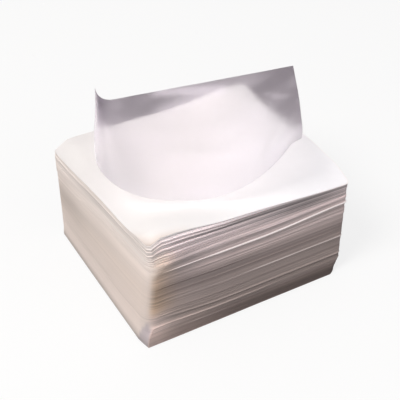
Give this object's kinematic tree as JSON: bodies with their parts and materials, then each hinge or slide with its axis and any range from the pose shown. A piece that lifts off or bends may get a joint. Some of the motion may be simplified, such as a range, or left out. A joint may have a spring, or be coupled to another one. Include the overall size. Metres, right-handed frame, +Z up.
{
  "type": "stack of edible rice paper",
  "caption": "Block of thin edible rice paper sheets lying flat on each other, with a loose sheet curled on top.",
  "frame": {"origin": "middle of the block's flat base", "axes": "+X along the sheets' long side, +Y along their short side, +Z up"},
  "size_m": [0.1181, 0.1111, 0.0808],
  "materials": {
    "stacked_paper": "matt, slightly silky, milky white from above and warm grey in the cut edges",
    "loose_paper": "thin translucent sheet, milky with a soft sheen"
  },
  "bodies": {
    "root": {"paper_stack": "stacked_paper", "loose_sheet": "loose_paper"}
  },
  "joints": []
}
